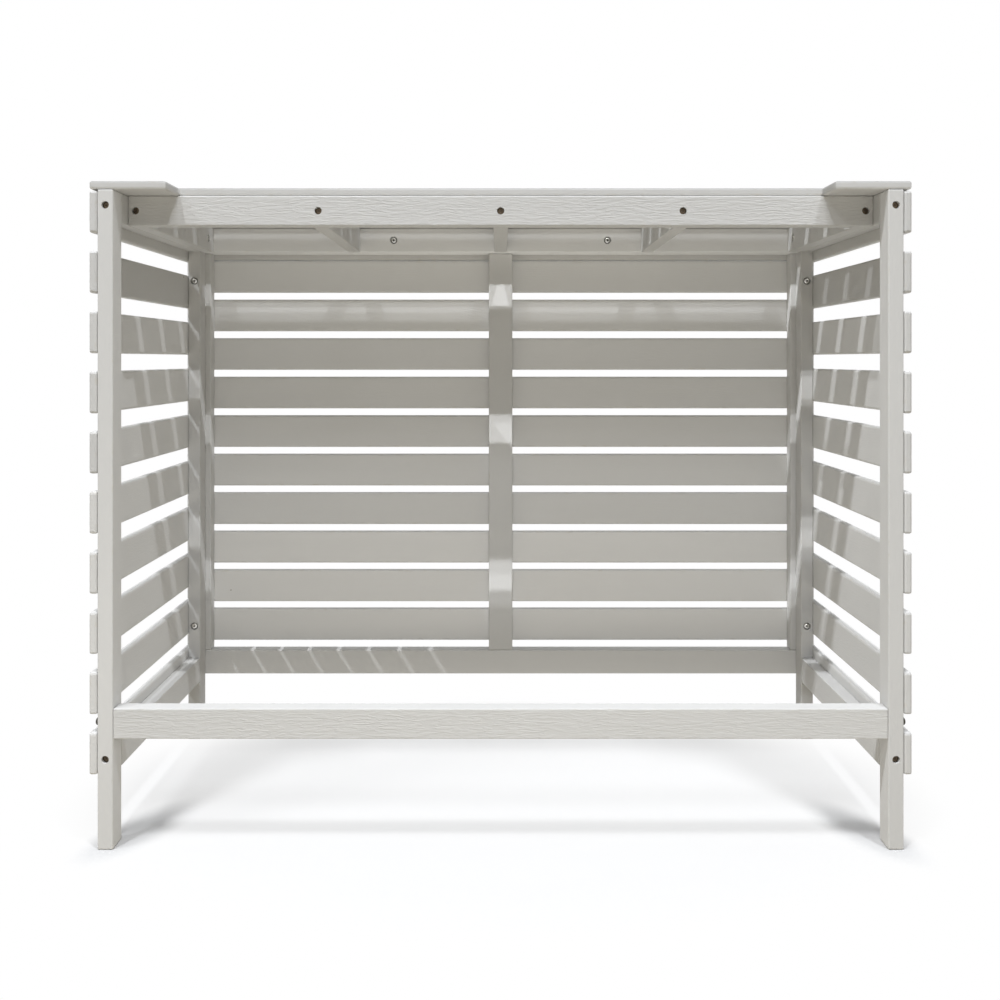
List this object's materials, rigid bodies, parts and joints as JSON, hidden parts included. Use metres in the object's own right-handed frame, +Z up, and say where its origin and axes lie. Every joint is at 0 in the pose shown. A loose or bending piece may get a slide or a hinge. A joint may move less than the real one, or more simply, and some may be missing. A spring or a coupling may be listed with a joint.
{
  "type": "air conditioner screen",
  "caption": "Free-standing slatted wooden screen with an open back, a notched slatted roof and legs, set over an outdoor air conditioner unit.",
  "frame": {"origin": "on the floor, under the middle of the screen's box", "axes": "+X to the right along the width, seen from the open side; +Y from the open side towards the slatted front; +Z up"},
  "size_m": [1.17, 0.434, 0.95],
  "materials": {
    "frame_paint": "satin off-white paint over planed softwood",
    "slat_paint": "satin off-white paint over planed softwood",
    "roof_paint": "satin off-white paint over planed softwood",
    "bolt_steel": "zinc-plated"
  },
  "bodies": {
    "root": {"left_open_post": "frame_paint", "left_front_post": "frame_paint", "left_top_rail": "frame_paint", "left_bottom_rail": "frame_paint", "left_slat_01": "slat_paint", "left_slat_02": "slat_paint", "left_slat_03": "slat_paint", "left_slat_04": "slat_paint", "left_slat_05": "slat_paint", "left_slat_06": "slat_paint", "left_slat_07": "slat_paint", "left_slat_08": "slat_paint", "left_slat_09": "slat_paint", "left_slat_10": "slat_paint", "right_open_post": "frame_paint", "right_front_post": "frame_paint", "right_top_rail": "frame_paint", "right_bottom_rail": "frame_paint", "right_slat_01": "slat_paint", "right_slat_02": "slat_paint", "right_slat_03": "slat_paint", "right_slat_04": "slat_paint", "right_slat_05": "slat_paint", "right_slat_06": "slat_paint", "right_slat_07": "slat_paint", "right_slat_08": "slat_paint", "right_slat_09": "slat_paint", "right_slat_10": "slat_paint", "front_top_rail": "frame_paint", "front_bottom_rail": "frame_paint", "front_post_left": "frame_paint", "front_post_centre": "frame_paint", "front_post_right": "frame_paint", "front_top_board": "slat_paint", "front_slat_01": "slat_paint", "front_slat_02": "slat_paint", "front_slat_03": "slat_paint", "front_slat_04": "slat_paint", "front_slat_05": "slat_paint", "front_slat_06": "slat_paint", "front_slat_07": "slat_paint", "front_slat_08": "slat_paint", "front_slat_09": "slat_paint", "front_slat_10": "slat_paint", "roof_notched_board": "roof_paint", "roof_slat_01": "roof_paint", "roof_slat_02": "roof_paint", "roof_slat_03": "roof_paint", "roof_slat_04": "roof_paint", "roof_open_rail": "frame_paint", "roof_front_rail": "frame_paint", "roof_joist_01": "frame_paint", "roof_joist_02": "frame_paint", "roof_joist_03": "frame_paint", "roof_joist_04": "frame_paint", "roof_joist_05": "frame_paint", "open_side_lower_rail": "frame_paint", "lower_rail_bolt_left": "bolt_steel", "lower_rail_bolt_right": "bolt_steel"}
  },
  "joints": []
}
